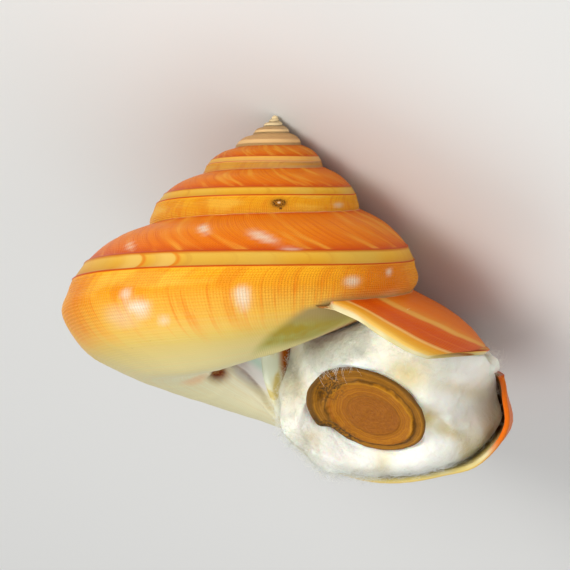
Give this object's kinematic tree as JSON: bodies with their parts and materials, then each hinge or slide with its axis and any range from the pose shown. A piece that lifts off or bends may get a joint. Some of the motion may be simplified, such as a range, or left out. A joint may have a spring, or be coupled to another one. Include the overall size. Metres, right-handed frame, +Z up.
{
  "type": "slit shell",
  "caption": "Broad cone-shaped right-handed slit shell lying on its back, its mouth packed with cotton wool that carries a horny lid.",
  "frame": {"origin": "bottom centre of the bounding box, on the surface that the shell lies on", "axes": "+Z up with the shell lying on the side of its spire and its mouth facing up, -Y towards the side from which the mouth and the spire are seen, +X from the mouth towards the far side of the last turn"},
  "size_m": [0.0938, 0.0846, 0.06],
  "materials": {
    "shell": "lightly polished shell with fine growth ribs and spiral cords",
    "cotton": "loose white cotton fibres",
    "horn": "thin amber horn with growth rings"
  },
  "bodies": {
    "root": {"shell": "shell", "cotton_wad": "cotton", "operculum": "horn"}
  },
  "joints": []
}
